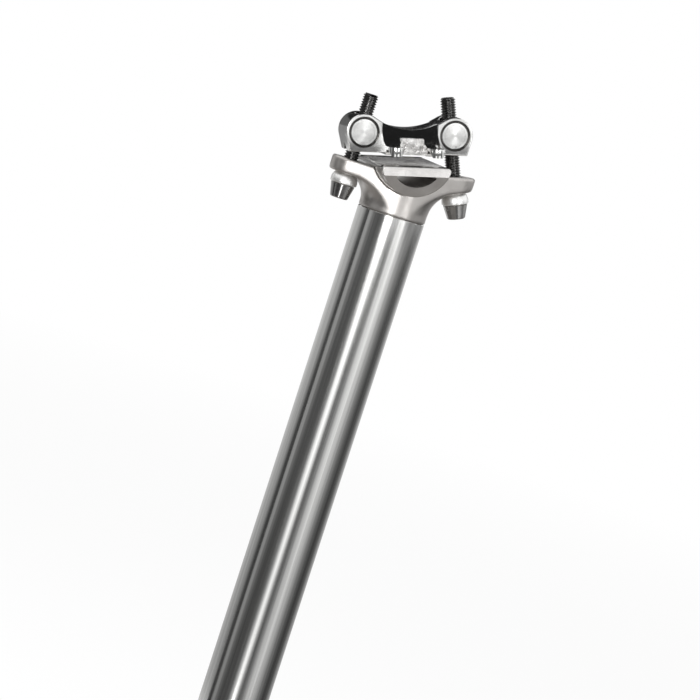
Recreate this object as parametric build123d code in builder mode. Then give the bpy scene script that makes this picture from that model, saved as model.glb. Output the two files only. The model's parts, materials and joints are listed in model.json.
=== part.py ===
from build123d import *
from math import cos, radians, sin, tan
import os

# Bicycle seatpost with a tilting two-bolt rail clamp.
# The origin is the centre of the tube's lower end, +Z runs up the tube, and +X is to the rear.
# The clamp is drawn at the tilt that it is set to. It rocks about the line midway between the
# rails, in a round seat across the top of the head.

# Post tube
POST_DIAMETER = 27.2
POST_WALL = 1.9
POST_LENGTH = 350.0  # lower end of the tube to the middle of the rail clamp
TUBE_BORE_CHAMFER = 0.6  # at the lower end
SEAM_CHAMFER = 0.3  # on both sides of the joint between tube and head

# Rails that the clamp takes
RAIL_DIAMETER = 7.0
RAIL_SPACING = 43.2  # between the centre lines of the two rails

# Place and tilt of the clamp
CLAMP_RISE = 23.5  # top of the tube to the middle of the rail clamp
CLAMP_OFFSET = -2.5  # middle of the rail clamp from the tube's axis, to the rear
CLAMP_TILT = 15.0  # slope of the rails, upwards to the rear

# Head
SPIGOT_LENGTH = 32.0
SPIGOT_BORE = 17.0
FRONT_EAR_RADIUS = 7.3
REAR_EAR_RADIUS = 7.6
FRONT_EAR_THICKNESS = 6.0
REAR_EAR_THICKNESS = 7.0
FRONT_EAR_SLOPE = 0.0  # of the ear's top, upwards from the tube
REAR_EAR_SLOPE = 10.0
FRONT_FLARE = 8.0  # radius of the sweep from the collar to the underside of the ear
REAR_FLARE = 13.0
SWEEP_SHARE = 0.9  # most of the collar's height that a sweep may take
EAR_EDGE_ROUND = 0.8
SPOT_FACE_MARGIN = 0.6
EAR_TO_BALL = 3.2  # underside of an ear to the centre of its washer's ball

# Lower cradle
CRADLE_RADIUS = 14.0
CRADLE_WIDTH = 52.0
CRADLE_DECK = 2.4  # below the rails' centre line
CRADLE_BAR = 3.4  # thickness of the bar between the deck and the window
CRADLE_BAND = 3.8  # thickness of the round wall below the window
CRADLE_DRAFT = 18.0  # slope of the band's two ends
CRADLE_LIP_ROUND = 1.4
WINDOW_CORNER_ROUND = 0.6

# Upper clamp
NUT_SPREAD = 18.0  # each cross nut from the middle of the clamp, along the rails
NUT_RISE = 9.0  # cross nuts above the rails' centre line
BOSS_WALL = 1.1  # metal around a cross nut
BOSS_WIDTH = 18.0
BOSS_EDGE_ROUND = 0.45
LEG_TAPER = 15.0
WAIST_HEIGHT = 10.6
WING_UNDERSIDE = 1.4  # above the rails' centre line
WING_LENGTH = 22.2
FLANK_DROP = 1.0  # start of the dished flank, below the waist
FLANK_FOOT = 2.0  # end of the dished flank, inside the rail's centre line
TOE_LENGTH = 6.1
TOE_COVER = 1.2  # metal over the top of the rail
TOE_LIP = 0.6  # metal past the side of the rail
RIB_TOP_WIDTH = 8.8
RIB_HEIGHT = 8.0
RIB_REACH = 15.0
RIB_EDGE_ROUND = 0.8

# Bolts, cross nuts and domed washers
BOLT_DIAMETER = 6.0
BOLT_TIP_CHAMFER = 0.7
FRONT_BOLT_TILT = 0.0  # towards the tube's axis, going up
REAR_BOLT_TILT = 22.8
FRONT_BALL_TO_NUT = 20.7
REAR_BALL_TO_NUT = 26.6
FRONT_BOLT_LENGTH = 36.5  # under the head
REAR_BOLT_LENGTH = 42.0
BOLT_HEAD_DIAMETER = 9.6
BOLT_HEAD_TIP = 7.2
BOLT_HEAD_HEIGHT = 5.8
SOCKET_SIZE = 5.0  # across flats
SOCKET_DEPTH = 3.6
NUT_DIAMETER = 12.0
NUT_RECESS = 0.2  # ends of a cross nut below the faces of its boss
NUT_CHAMFER = 1.0
BALL_RADIUS = 5.35
WASHER_BASE = 1.0  # base of a domed washer below the centre of its ball
WASHER_CHAMFER = 0.3

# Clearances
BOND_GAP = 0.05  # glue line between spigot and tube
CRADLE_FIT = 0.05
NUT_FIT = 0.05
BALL_FIT = 0.05
THREAD_CLEARANCE = 0.25
WASHER_CLEARANCE = 0.3
EAR_HOLE_CLEARANCE = 0.7
SLOT_SIDE_CLEARANCE = 0.4
SLOT_SWING = 9.0  # most that a bolt swings in its boss, either way

# Frames that the pieces are drawn in
POST_RADIUS = POST_DIAMETER / 2
TUBE_BORE_RADIUS = POST_RADIUS - POST_WALL
RAIL_RADIUS = RAIL_DIAMETER / 2
RAIL_LINE = RAIL_SPACING / 2
BOLT_RADIUS = BOLT_DIAMETER / 2
NUT_RADIUS = NUT_DIAMETER / 2
BOSS_RADIUS = NUT_RADIUS + BOSS_WALL
SEAM_HEIGHT = POST_LENGTH - CLAMP_RISE

FORWARD_SIDE, REAR_SIDE = -1, 1
ACROSS = Vector(0, 1, 0)
CLAMP_CENTRE = Vector(CLAMP_OFFSET, 0, POST_LENGTH)
RAIL_WAY = Vector(cos(radians(CLAMP_TILT)), 0, sin(radians(CLAMP_TILT)))
CLAMP_UP = Vector(-RAIL_WAY.Z, 0, RAIL_WAY.X)
CLAMP_SIDE_VIEW = Plane(origin=CLAMP_CENTRE, x_dir=RAIL_WAY, z_dir=-ACROSS)
CLAMP_END_VIEW = Plane(origin=CLAMP_CENTRE, x_dir=ACROSS, z_dir=RAIL_WAY)
CLAMP_PLAN = Plane(origin=CLAMP_CENTRE, x_dir=RAIL_WAY, z_dir=CLAMP_UP)
HEAD_SIDE_VIEW = Plane(origin=(0, 0, SEAM_HEIGHT), x_dir=(1, 0, 0), z_dir=-ACROSS)
HEAD_PLAN = Plane.XY.offset(SEAM_HEIGHT)


class BoltLine:
    """One bolt's line: its cross nut, the ball of its washer, and the ear that it hangs from."""

    def __init__(self, name, side, tilt, ball_to_nut, length, ear_radius, ear_thickness, ear_slope, flare):
        self.name = name
        self.side = side
        self.tilt = tilt
        self.length = length
        self.ear_radius = ear_radius
        self.ear_slope = ear_slope
        self.flare = flare
        self.up = Vector(-side * sin(radians(tilt)), 0, cos(radians(tilt)))
        self.square_way = Vector(self.up.Z, 0, -self.up.X)
        self.nut = CLAMP_CENTRE + RAIL_WAY * (side * NUT_SPREAD) + CLAMP_UP * NUT_RISE
        self.ball = self.nut - self.up * ball_to_nut
        self.axis = Axis(self.ball, self.up)
        self.side_view = Plane(origin=self.ball, x_dir=self.square_way, z_dir=-ACROSS)
        self.ear_bottom = self.ball + self.up * EAR_TO_BALL
        self.ear_middle = self.ear_bottom + self.up * (ear_thickness / 2)
        self.ear_top = self.ear_bottom + self.up * ear_thickness

    def cross_plane(self, point):
        """Plane square to the bolt, with its X in the side view."""
        return Plane(origin=point, x_dir=self.square_way, z_dir=self.up)

    def ear_bottom_height(self, reach):
        """Height of the ear's underside above the seam, at a distance from the tube's axis."""
        run = reach - abs(self.ear_bottom.X)
        return self.ear_bottom.Z - SEAM_HEIGHT + run * tan(radians(self.tilt))

    def ear_top_height(self, x):
        """Height of the ear's top above the seam, at a place along X."""
        run = self.side * (x - self.ear_top.X)
        return self.ear_top.Z - SEAM_HEIGHT + run * tan(radians(self.ear_slope))


FRONT = BoltLine(
    "front",
    FORWARD_SIDE,
    FRONT_BOLT_TILT,
    FRONT_BALL_TO_NUT,
    FRONT_BOLT_LENGTH,
    FRONT_EAR_RADIUS,
    FRONT_EAR_THICKNESS,
    FRONT_EAR_SLOPE,
    FRONT_FLARE,
)
REAR = BoltLine(
    "rear",
    REAR_SIDE,
    REAR_BOLT_TILT,
    REAR_BALL_TO_NUT,
    REAR_BOLT_LENGTH,
    REAR_EAR_RADIUS,
    REAR_EAR_THICKNESS,
    REAR_EAR_SLOPE,
    REAR_FLARE,
)
BOLT_LINES = (FRONT, REAR)

os.makedirs("parts", exist_ok=True)


# Post tube: a plain drawn tube, open at the lower end and bonded to the head at the top
with BuildPart() as post_tube:
    with BuildSketch(Plane.XY):
        Circle(POST_RADIUS)
        Circle(TUBE_BORE_RADIUS, mode=Mode.SUBTRACT)
    extrude(amount=SEAM_HEIGHT)
    chamfer(post_tube.edges().group_by(Axis.Z)[0].sort_by(SortBy.LENGTH)[0], length=TUBE_BORE_CHAMFER)
    chamfer(post_tube.edges().group_by(Axis.Z)[-1].sort_by(SortBy.LENGTH)[-1], length=SEAM_CHAMFER)

post_tube.part.label = "post_tube"
export_step(post_tube.part, "parts/post_tube.step")


# Head: a collar that flares into two ears, with a round seat for the cradle between them
HEAD_CEILING = CLAMP_RISE + CRADLE_RADIUS
HEAD_REACH = max(abs(bolt.ear_middle.X) + bolt.ear_radius for bolt in BOLT_LINES)

with BuildPart() as head_outline:
    with BuildSketch(HEAD_PLAN):
        Circle(POST_RADIUS)
        for bolt in BOLT_LINES:
            with Locations((bolt.ear_middle.X, 0)):
                Circle(bolt.ear_radius)
        make_hull()
    extrude(amount=2 * HEAD_CEILING)

    with BuildSketch(HEAD_SIDE_VIEW):
        with BuildLine():
            Polyline(
                (-2 * HEAD_REACH, FRONT.ear_top_height(-2 * HEAD_REACH)),
                (CLAMP_OFFSET, FRONT.ear_top_height(CLAMP_OFFSET)),
                (CLAMP_OFFSET, REAR.ear_top_height(CLAMP_OFFSET)),
                (2 * HEAD_REACH, REAR.ear_top_height(2 * HEAD_REACH)),
                (2 * HEAD_REACH, 3 * HEAD_CEILING),
                (-2 * HEAD_REACH, 3 * HEAD_CEILING),
                close=True,
            )
        make_face()
    extrude(amount=POST_DIAMETER, both=True, mode=Mode.SUBTRACT)
    with BuildSketch(CLAMP_SIDE_VIEW):
        Circle(CRADLE_RADIUS + CRADLE_FIT)
    extrude(amount=POST_DIAMETER, both=True, mode=Mode.SUBTRACT)
    ear_tops = head_outline.faces().filter_by(
        lambda face: face.is_planar and face.normal_at().Z > abs(face.normal_at().X)
    )
    fillet(ear_tops.edges().filter_by(Axis.Y, reverse=True), radius=EAR_EDGE_ROUND)

with BuildPart() as head:
    for bolt in BOLT_LINES:
        corner = (POST_RADIUS, bolt.ear_bottom_height(POST_RADIUS))
        sweep_limit = SWEEP_SHARE * corner[1] / tan(radians(45 - bolt.tilt / 2))
        half_turn_start = Plane(
            origin=(0, 0, SEAM_HEIGHT), x_dir=-ACROSS * bolt.side, z_dir=Vector(-bolt.side, 0, 0)
        )
        with BuildSketch(half_turn_start) as flare_section:
            with BuildLine():
                Polyline(
                    (0, 0),
                    (POST_RADIUS - SEAM_CHAMFER, 0),
                    (POST_RADIUS, SEAM_CHAMFER),
                    corner,
                    (2 * HEAD_REACH, bolt.ear_bottom_height(2 * HEAD_REACH)),
                    (2 * HEAD_REACH, 2 * HEAD_CEILING),
                    (0, 2 * HEAD_CEILING),
                    close=True,
                )
            make_face()
            fillet(
                flare_section.vertices().sort_by_distance(corner)[0],
                radius=min(bolt.flare, sweep_limit),
            )
        revolve(axis=Axis.Z, revolution_arc=180)
    add(head_outline.part, mode=Mode.INTERSECT)

    for bolt in BOLT_LINES:
        with BuildSketch(bolt.cross_plane(bolt.ear_bottom)):
            Circle(BALL_RADIUS + SPOT_FACE_MARGIN)
        extrude(amount=-(EAR_TO_BALL + BALL_RADIUS), mode=Mode.SUBTRACT)
        with BuildSketch(bolt.cross_plane(bolt.ball)):
            Circle(BOLT_RADIUS + EAR_HOLE_CLEARANCE)
        extrude(amount=HEAD_CEILING, mode=Mode.SUBTRACT)
        with Locations(Plane(bolt.ball)):
            Sphere(BALL_RADIUS + BALL_FIT, mode=Mode.SUBTRACT)

    with BuildSketch(HEAD_PLAN):
        Circle(TUBE_BORE_RADIUS - BOND_GAP)
    extrude(amount=-SPIGOT_LENGTH)
    with BuildSketch(HEAD_PLAN.offset(-SPIGOT_LENGTH)):
        Circle(SPIGOT_BORE / 2)
    extrude(amount=SPIGOT_LENGTH, mode=Mode.SUBTRACT)

head.part.label = "head"
export_step(head.part, "parts/head.step")


# Lower cradle: a half-round bar with a half-moon window and a groove for each rail
WINDOW_TOP = CRADLE_DECK + CRADLE_BAR
DRAFT_DEPTH = (CRADLE_RADIUS - WINDOW_TOP) * tan(radians(CRADLE_DRAFT))

with BuildPart() as lower_cradle:
    with BuildSketch(CLAMP_SIDE_VIEW) as cradle_section:
        Circle(CRADLE_RADIUS)
        with Locations((0, -CRADLE_DECK)):
            Rectangle(
                2 * CRADLE_RADIUS,
                2 * CRADLE_RADIUS,
                align=(Align.CENTER, Align.MIN),
                mode=Mode.SUBTRACT,
            )
        fillet(cradle_section.vertices(), radius=CRADLE_LIP_ROUND)
    extrude(amount=CRADLE_WIDTH / 2, both=True)

    with BuildSketch(CLAMP_SIDE_VIEW) as window:
        Circle(CRADLE_RADIUS - CRADLE_BAND)
        with Locations((0, -WINDOW_TOP)):
            Rectangle(
                2 * CRADLE_RADIUS,
                2 * CRADLE_RADIUS,
                align=(Align.CENTER, Align.MIN),
                mode=Mode.SUBTRACT,
            )
        fillet(window.vertices(), radius=WINDOW_CORNER_ROUND)
    extrude(amount=CRADLE_WIDTH / 2, both=True, mode=Mode.SUBTRACT)

    with BuildSketch(CLAMP_END_VIEW):
        with BuildLine():
            Polyline(
                (CRADLE_WIDTH / 2, -WINDOW_TOP),
                (CRADLE_WIDTH / 2 - DRAFT_DEPTH, -CRADLE_RADIUS),
                (CRADLE_WIDTH, -2 * CRADLE_RADIUS),
                (CRADLE_WIDTH, -WINDOW_TOP),
                close=True,
            )
        make_face()
        mirror(about=Plane.YZ)
    extrude(amount=CRADLE_RADIUS, both=True, mode=Mode.SUBTRACT)

    with BuildSketch(CLAMP_END_VIEW):
        with Locations((-RAIL_LINE, 0), (RAIL_LINE, 0)):
            Circle(RAIL_RADIUS)
    extrude(amount=CRADLE_RADIUS, both=True, mode=Mode.SUBTRACT)

lower_cradle.part.label = "lower_cradle"
export_step(lower_cradle.part, "parts/lower_cradle.step")


# Upper clamp: two bosses joined by a dished waist, whose flanks run out to four toes on the rails
DISH_RADIUS = (NUT_SPREAD**2 + (WAIST_HEIGHT - NUT_RISE) ** 2 - BOSS_RADIUS**2) / (
    2 * (BOSS_RADIUS - WAIST_HEIGHT + NUT_RISE)
)
DISH_REACH = DISH_RADIUS + BOSS_RADIUS  # centre of the dish to the centre of a boss
DISH_SHARE = BOSS_RADIUS / DISH_REACH
SHOULDER = (
    NUT_SPREAD * (1 - DISH_SHARE),
    NUT_RISE + (WAIST_HEIGHT + DISH_RADIUS - NUT_RISE) * DISH_SHARE,
)
LEG_TOP_HALF = BOSS_RADIUS * cos(radians(LEG_TAPER))
LEG_TOP_HEIGHT = NUT_RISE - BOSS_RADIUS * sin(radians(LEG_TAPER))
LEG_FOOT_HALF = LEG_TOP_HALF - (LEG_TOP_HEIGHT - WING_UNDERSIDE) * tan(radians(LEG_TAPER))
TOE_TOP = RAIL_RADIUS + TOE_COVER
FLANK_RUN = RAIL_LINE - FLANK_FOOT - BOSS_WIDTH / 2
FLANK_RISE = WAIST_HEIGHT - FLANK_DROP - TOE_TOP
FLANK_RADIUS = (FLANK_RUN**2 + FLANK_RISE**2) / (2 * FLANK_RISE)
TOE_END = RAIL_LINE + RAIL_RADIUS + TOE_LIP
TOE_GAP = WING_LENGTH - 2 * TOE_LENGTH
TOE_PLACE = (WING_LENGTH - TOE_LENGTH) / 2
SLOT_HALF_LENGTH = BOLT_RADIUS + SLOT_SIDE_CLEARANCE + BOSS_RADIUS * tan(radians(SLOT_SWING))

with BuildPart() as upper_clamp:
    with BuildSketch(CLAMP_SIDE_VIEW):
        for side in (FORWARD_SIDE, REAR_SIDE):
            with Locations((side * NUT_SPREAD, NUT_RISE)):
                Circle(BOSS_RADIUS)
            with BuildLine():
                Polyline(
                    (side * NUT_SPREAD - LEG_TOP_HALF, LEG_TOP_HEIGHT),
                    (side * NUT_SPREAD - LEG_FOOT_HALF, WING_UNDERSIDE),
                    (side * NUT_SPREAD + LEG_FOOT_HALF, WING_UNDERSIDE),
                    (side * NUT_SPREAD + LEG_TOP_HALF, LEG_TOP_HEIGHT),
                    close=True,
                )
            make_face()
        with BuildLine():
            dish = ThreePointArc((-SHOULDER[0], SHOULDER[1]), (0, WAIST_HEIGHT), SHOULDER)
            Polyline(
                dish @ 1,
                (NUT_SPREAD, NUT_RISE),
                (NUT_SPREAD, WING_UNDERSIDE),
                (-NUT_SPREAD, WING_UNDERSIDE),
                (-NUT_SPREAD, NUT_RISE),
                dish @ 0,
            )
        make_face()
    extrude(amount=BOSS_WIDTH / 2, both=True)
    side_edges = upper_clamp.edges().group_by(Axis.Y)
    fillet(side_edges[0] + side_edges[-1], radius=BOSS_EDGE_ROUND)

    with BuildSketch(CLAMP_END_VIEW) as wing_section:
        with BuildLine():
            Polyline(
                (BOSS_WIDTH / 2, WAIST_HEIGHT - FLANK_DROP),
                (0, WAIST_HEIGHT - FLANK_DROP),
                (0, WING_UNDERSIDE),
                (TOE_END, WING_UNDERSIDE),
                (TOE_END, TOE_TOP),
                (RAIL_LINE - FLANK_FOOT, TOE_TOP),
            )
            TangentArc(
                (RAIL_LINE - FLANK_FOOT, TOE_TOP),
                (BOSS_WIDTH / 2, WAIST_HEIGHT - FLANK_DROP),
                tangent=(-1, 0),
            )
        make_face()
        mirror(about=Plane.YZ)
    extrude(amount=WING_LENGTH / 2, both=True)

    with BuildSketch(CLAMP_PLAN):
        Rectangle(2 * (NUT_SPREAD + BOSS_RADIUS), BOSS_WIDTH)
        Rectangle(WING_LENGTH, 2 * RIB_REACH)
        with Locations((-TOE_PLACE, 0), (TOE_PLACE, 0)):
            SlotOverall(2 * TOE_END, TOE_LENGTH, rotation=90)
    extrude(amount=2 * NUT_SPREAD, both=True, mode=Mode.INTERSECT)

    with BuildSketch(CLAMP_END_VIEW) as waist_sides:
        with BuildLine():
            flank_end = (BOSS_WIDTH / 2, WAIST_HEIGHT - FLANK_DROP)
            flank = RadiusArc(
                flank_end,
                (RAIL_LINE - FLANK_FOOT - FLANK_RADIUS, TOE_TOP + FLANK_RADIUS),
                radius=FLANK_RADIUS,
            )
            Polyline(
                flank @ 1,
                (BOSS_WIDTH, TOE_TOP + FLANK_RADIUS),
                (BOSS_WIDTH, flank_end[1]),
                flank_end,
            )
        make_face()
        mirror(about=Plane.YZ)
    extrude(amount=WING_LENGTH / 2, both=True, mode=Mode.SUBTRACT)

    with BuildSketch(CLAMP_SIDE_VIEW) as rib_section:
        with BuildLine():
            Polyline(
                (-TOE_GAP / 2, WING_UNDERSIDE),
                (TOE_GAP / 2, WING_UNDERSIDE),
                (RIB_TOP_WIDTH / 2, RIB_HEIGHT),
                (-RIB_TOP_WIDTH / 2, RIB_HEIGHT),
                close=True,
            )
        make_face()
        fillet(rib_section.vertices().group_by(Axis.Y)[-1], radius=RIB_EDGE_ROUND)
    extrude(amount=RIB_REACH, both=True)

    with BuildSketch(CLAMP_END_VIEW):
        with Locations((-RAIL_LINE, 0), (RAIL_LINE, 0)):
            Circle(RAIL_RADIUS)
    extrude(amount=WING_LENGTH, both=True, mode=Mode.SUBTRACT)

    with BuildSketch(CLAMP_SIDE_VIEW):
        with Locations((-NUT_SPREAD, NUT_RISE), (NUT_SPREAD, NUT_RISE)):
            Circle(NUT_RADIUS + NUT_FIT)
    extrude(amount=BOSS_WIDTH, both=True, mode=Mode.SUBTRACT)

    for bolt in BOLT_LINES:
        with BuildSketch(bolt.cross_plane(bolt.nut)):
            SlotOverall(2 * SLOT_HALF_LENGTH, 2 * (BOLT_RADIUS + SLOT_SIDE_CLEARANCE))
        extrude(amount=2 * BOSS_RADIUS, both=True, mode=Mode.SUBTRACT)

upper_clamp.part.label = "upper_clamp"
export_step(upper_clamp.part, "parts/upper_clamp.step")


# Cross nuts: turned pins with a threaded hole across the middle
for bolt in BOLT_LINES:
    with BuildPart() as barrel_nut:
        with BuildSketch(Plane(origin=bolt.nut, x_dir=RAIL_WAY, z_dir=-ACROSS)):
            Circle(NUT_RADIUS)
        extrude(amount=BOSS_WIDTH / 2 - NUT_RECESS, both=True)
        chamfer(barrel_nut.edges().filter_by(GeomType.CIRCLE), length=NUT_CHAMFER)
        with BuildSketch(bolt.cross_plane(bolt.nut)):
            Circle(BOLT_RADIUS + THREAD_CLEARANCE)
        extrude(amount=NUT_DIAMETER, both=True, mode=Mode.SUBTRACT)
    barrel_nut.part.label = f"{bolt.name}_barrel_nut"
    export_step(barrel_nut.part, f"parts/{bolt.name}_barrel_nut.step")


# Bolts: socket screws whose heads taper downwards, standing on the domed washers
for bolt in BOLT_LINES:
    with BuildPart() as screw:
        with BuildSketch(bolt.side_view):
            with BuildLine():
                Polyline(
                    (0, -WASHER_BASE - BOLT_HEAD_HEIGHT),
                    (BOLT_HEAD_TIP / 2, -WASHER_BASE - BOLT_HEAD_HEIGHT),
                    (BOLT_HEAD_DIAMETER / 2, -WASHER_BASE),
                    (BOLT_RADIUS, -WASHER_BASE),
                    (BOLT_RADIUS, bolt.length - WASHER_BASE - BOLT_TIP_CHAMFER),
                    (BOLT_RADIUS - BOLT_TIP_CHAMFER, bolt.length - WASHER_BASE),
                    (0, bolt.length - WASHER_BASE),
                    close=True,
                )
            make_face()
        revolve(axis=bolt.axis)
        with BuildSketch(bolt.cross_plane(bolt.ball - bolt.up * (WASHER_BASE + BOLT_HEAD_HEIGHT))):
            RegularPolygon(radius=SOCKET_SIZE / 2, side_count=6, major_radius=False)
        extrude(amount=SOCKET_DEPTH, mode=Mode.SUBTRACT)
    screw.part.label = f"{bolt.name}_bolt"
    export_step(screw.part, f"parts/{bolt.name}_bolt.step")


# Domed washers: balls cut off flat at the base and bored for the bolt
for bolt in BOLT_LINES:
    with BuildPart() as washer:
        with Locations(Plane(bolt.ball)):
            Sphere(BALL_RADIUS)
        split(bisect_by=bolt.cross_plane(bolt.ball - bolt.up * WASHER_BASE), keep=Keep.TOP)
        chamfer(washer.edges().filter_by(GeomType.CIRCLE), length=WASHER_CHAMFER)
        with BuildSketch(bolt.cross_plane(bolt.ball)):
            Circle(BOLT_RADIUS + WASHER_CLEARANCE)
        extrude(amount=BALL_RADIUS, both=True, mode=Mode.SUBTRACT)
    washer.part.label = f"{bolt.name}_washer"
    export_step(washer.part, f"parts/{bolt.name}_washer.step")
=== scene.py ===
import json
from math import cos, pi, radians, sin

import bmesh
import bpy
from mathutils import Matrix, Vector
from mathutils.kdtree import KDTree

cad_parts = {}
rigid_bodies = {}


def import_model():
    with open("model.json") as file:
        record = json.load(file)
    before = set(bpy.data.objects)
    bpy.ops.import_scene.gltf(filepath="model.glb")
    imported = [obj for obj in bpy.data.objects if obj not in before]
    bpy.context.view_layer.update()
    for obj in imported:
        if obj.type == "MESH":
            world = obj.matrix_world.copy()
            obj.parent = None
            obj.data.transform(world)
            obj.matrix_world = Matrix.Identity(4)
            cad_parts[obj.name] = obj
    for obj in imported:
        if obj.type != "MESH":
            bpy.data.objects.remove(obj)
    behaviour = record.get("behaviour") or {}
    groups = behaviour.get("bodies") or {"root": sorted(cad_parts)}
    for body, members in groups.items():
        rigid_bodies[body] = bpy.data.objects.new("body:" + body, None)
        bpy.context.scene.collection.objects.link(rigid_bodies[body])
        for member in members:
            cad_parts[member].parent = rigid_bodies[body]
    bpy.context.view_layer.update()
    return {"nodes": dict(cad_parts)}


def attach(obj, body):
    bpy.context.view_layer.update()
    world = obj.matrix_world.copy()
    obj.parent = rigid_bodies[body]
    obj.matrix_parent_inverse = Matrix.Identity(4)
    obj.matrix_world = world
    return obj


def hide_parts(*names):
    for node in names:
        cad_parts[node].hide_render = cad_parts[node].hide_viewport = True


for leftover in list(bpy.data.objects):
    bpy.data.objects.remove(leftover)

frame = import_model()


# Post tube
# A plain drawn aluminium tube, ground and brightened along its length, then cut square. The head is
# glued into its upper end, and the lower end is left open.
TUBE_RADIUS = 0.0136
TUBE_BORE_RADIUS = 0.0117
TUBE_TOP = 0.3265
TUBE_TOP_BREAK = 0.0003
TUBE_MOUTH_BREAK = 0.0006
TUBE_SEGMENTS = 288
TUBE_CRISP_TURN = radians(20)
DRAWING_LINES = {"cycles": (2600, 2600, 9), "detail": 3}
GRINDING_LINES = {"cycles": (1500, 1500, 25), "detail": 6}
CLOUD_START = 0.3
CLOUD_END = 0.7
WELD_GAP = 1e-7


def turned(outline, segments):
    """A closed outline of (radius, height) points, turned about Z into a solid."""
    bm = bmesh.new()
    ring = [bm.verts.new((radius, 0, height)) for radius, height in outline]
    edges = [bm.edges.new((a, b)) for a, b in zip(ring, ring[1:] + ring[:1])]
    bmesh.ops.spin(
        bm,
        geom=ring + edges,
        cent=(0, 0, 0),
        axis=(0, 0, 1),
        angle=2 * pi,
        steps=segments,
        use_merge=True,
    )
    bmesh.ops.remove_doubles(bm, verts=bm.verts, dist=WELD_GAP)
    bmesh.ops.recalc_face_normals(bm, faces=bm.faces)
    return bm


def shade_smooth(bm, crisp_turn):
    """Shades the faces smooth, and keeps every edge that turns by more than an angle crisp."""
    for face in bm.faces:
        face.smooth = True
    for edge in bm.edges:
        edge.smooth = len(edge.link_faces) == 2 and edge.calc_face_angle() < crisp_turn


def finish_piece(bm, name, body, nodes, materials):
    """Makes an object of the bmesh, in place of its nodes, and seats it on its body."""
    mesh = bpy.data.meshes.new(name)
    bm.to_mesh(mesh)
    bm.free()
    for material in materials:
        mesh.materials.append(material)
    piece = bpy.data.objects.new(name, mesh)
    bpy.context.scene.collection.objects.link(piece)
    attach(piece, body)
    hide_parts(*nodes)


def metal(name, tints, tint_cloud, roughness, roughness_cloud, relief=0.0, relief_cloud=None):
    """A bare metal with a cloud of two tints, a cloud of two degrees of roughness, and a relief."""
    material = bpy.data.materials.new(name)
    material.use_nodes = True
    nodes, links = material.node_tree.nodes, material.node_tree.links
    shader = nodes["Principled BSDF"]
    shader.inputs["Metallic"].default_value = 1.0
    shader.inputs["Base Color"].default_value = (*[sum(pair) / 2 for pair in zip(*tints)], 1)
    shader.inputs["Roughness"].default_value = sum(roughness) / 2
    place = nodes.new("ShaderNodeTexCoord").outputs["Object"]

    def cloud(cycles, detail, distortion=0.0):
        """A cloudy pattern with its own number of cycles in a metre along X, Y and Z."""
        mapping = nodes.new("ShaderNodeMapping")
        mapping.inputs["Scale"].default_value = cycles
        noise = nodes.new("ShaderNodeTexNoise")
        noise.inputs["Scale"].default_value = 1.0
        noise.inputs["Detail"].default_value = detail
        noise.inputs["Distortion"].default_value = distortion
        links.new(place, mapping.inputs["Vector"])
        links.new(mapping.outputs["Vector"], noise.inputs["Vector"])
        return noise.outputs["Fac"]

    run = nodes.new("ShaderNodeValToRGB")
    for element, position, tint in zip(run.color_ramp.elements, (CLOUD_START, CLOUD_END), tints):
        element.position = position
        element.color = (*tint, 1)
    links.new(cloud(**tint_cloud), run.inputs["Fac"])
    links.new(run.outputs["Color"], shader.inputs["Base Color"])

    gloss = nodes.new("ShaderNodeMapRange")
    gloss.inputs["From Min"].default_value = CLOUD_START
    gloss.inputs["From Max"].default_value = CLOUD_END
    gloss.inputs["To Min"].default_value = roughness[0]
    gloss.inputs["To Max"].default_value = roughness[1]
    links.new(cloud(**roughness_cloud), gloss.inputs["Value"])
    links.new(gloss.outputs["Result"], shader.inputs["Roughness"])

    if relief_cloud:
        bump = nodes.new("ShaderNodeBump")
        bump.inputs["Strength"].default_value = 1.0
        bump.inputs["Distance"].default_value = relief
        links.new(cloud(**relief_cloud), bump.inputs["Height"])
        links.new(bump.outputs["Normal"], shader.inputs["Normal"])
    return material


drawn = metal(
    "drawn_aluminium",
    tints=((0.53, 0.53, 0.52), (0.66, 0.66, 0.65)),
    tint_cloud=DRAWING_LINES,
    roughness=(0.1, 0.19),
    roughness_cloud=GRINDING_LINES,
    relief=0.0000025,
    relief_cloud=DRAWING_LINES,
)

post_tube = turned(
    [
        (TUBE_RADIUS, 0),
        (TUBE_RADIUS, TUBE_TOP - TUBE_TOP_BREAK),
        (TUBE_RADIUS - TUBE_TOP_BREAK, TUBE_TOP),
        (TUBE_BORE_RADIUS, TUBE_TOP),
        (TUBE_BORE_RADIUS, TUBE_MOUTH_BREAK),
        (TUBE_BORE_RADIUS + TUBE_MOUTH_BREAK, 0),
    ],
    TUBE_SEGMENTS,
)
shade_smooth(post_tube, TUBE_CRISP_TURN)
finish_piece(post_tube, "drawn_tube", "post", ["post_tube"], [drawn])


# Head
# A forged aluminium head, blasted to a satin grey. Its collar sweeps out into an ear for each bolt,
# and the edges under the ears are rubbed round by hand before the seat is bored across it.
FORGING_CELL = 0.0004
SURFACE_PASSES = 3
SURFACE_EASE = 0.4
SWEEP_EDGE_REACH = 0.0022
SWEEP_EDGE_PASSES = 14
SWEEP_EDGE_EASE = 0.5
SWEEP_EDGE_TURN = radians(20)
TURNED_DOWN = -0.05
UPRIGHT = 0.02
FORGED_CRISP_TURN = radians(60)


def merged_copy(node):
    """A bmesh copy of a node's mesh with its loose triangles joined."""
    bm = bmesh.new()
    bm.from_mesh(frame["nodes"][node].data)
    bmesh.ops.remove_doubles(bm, verts=bm.verts, dist=WELD_GAP)
    return bm


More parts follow.
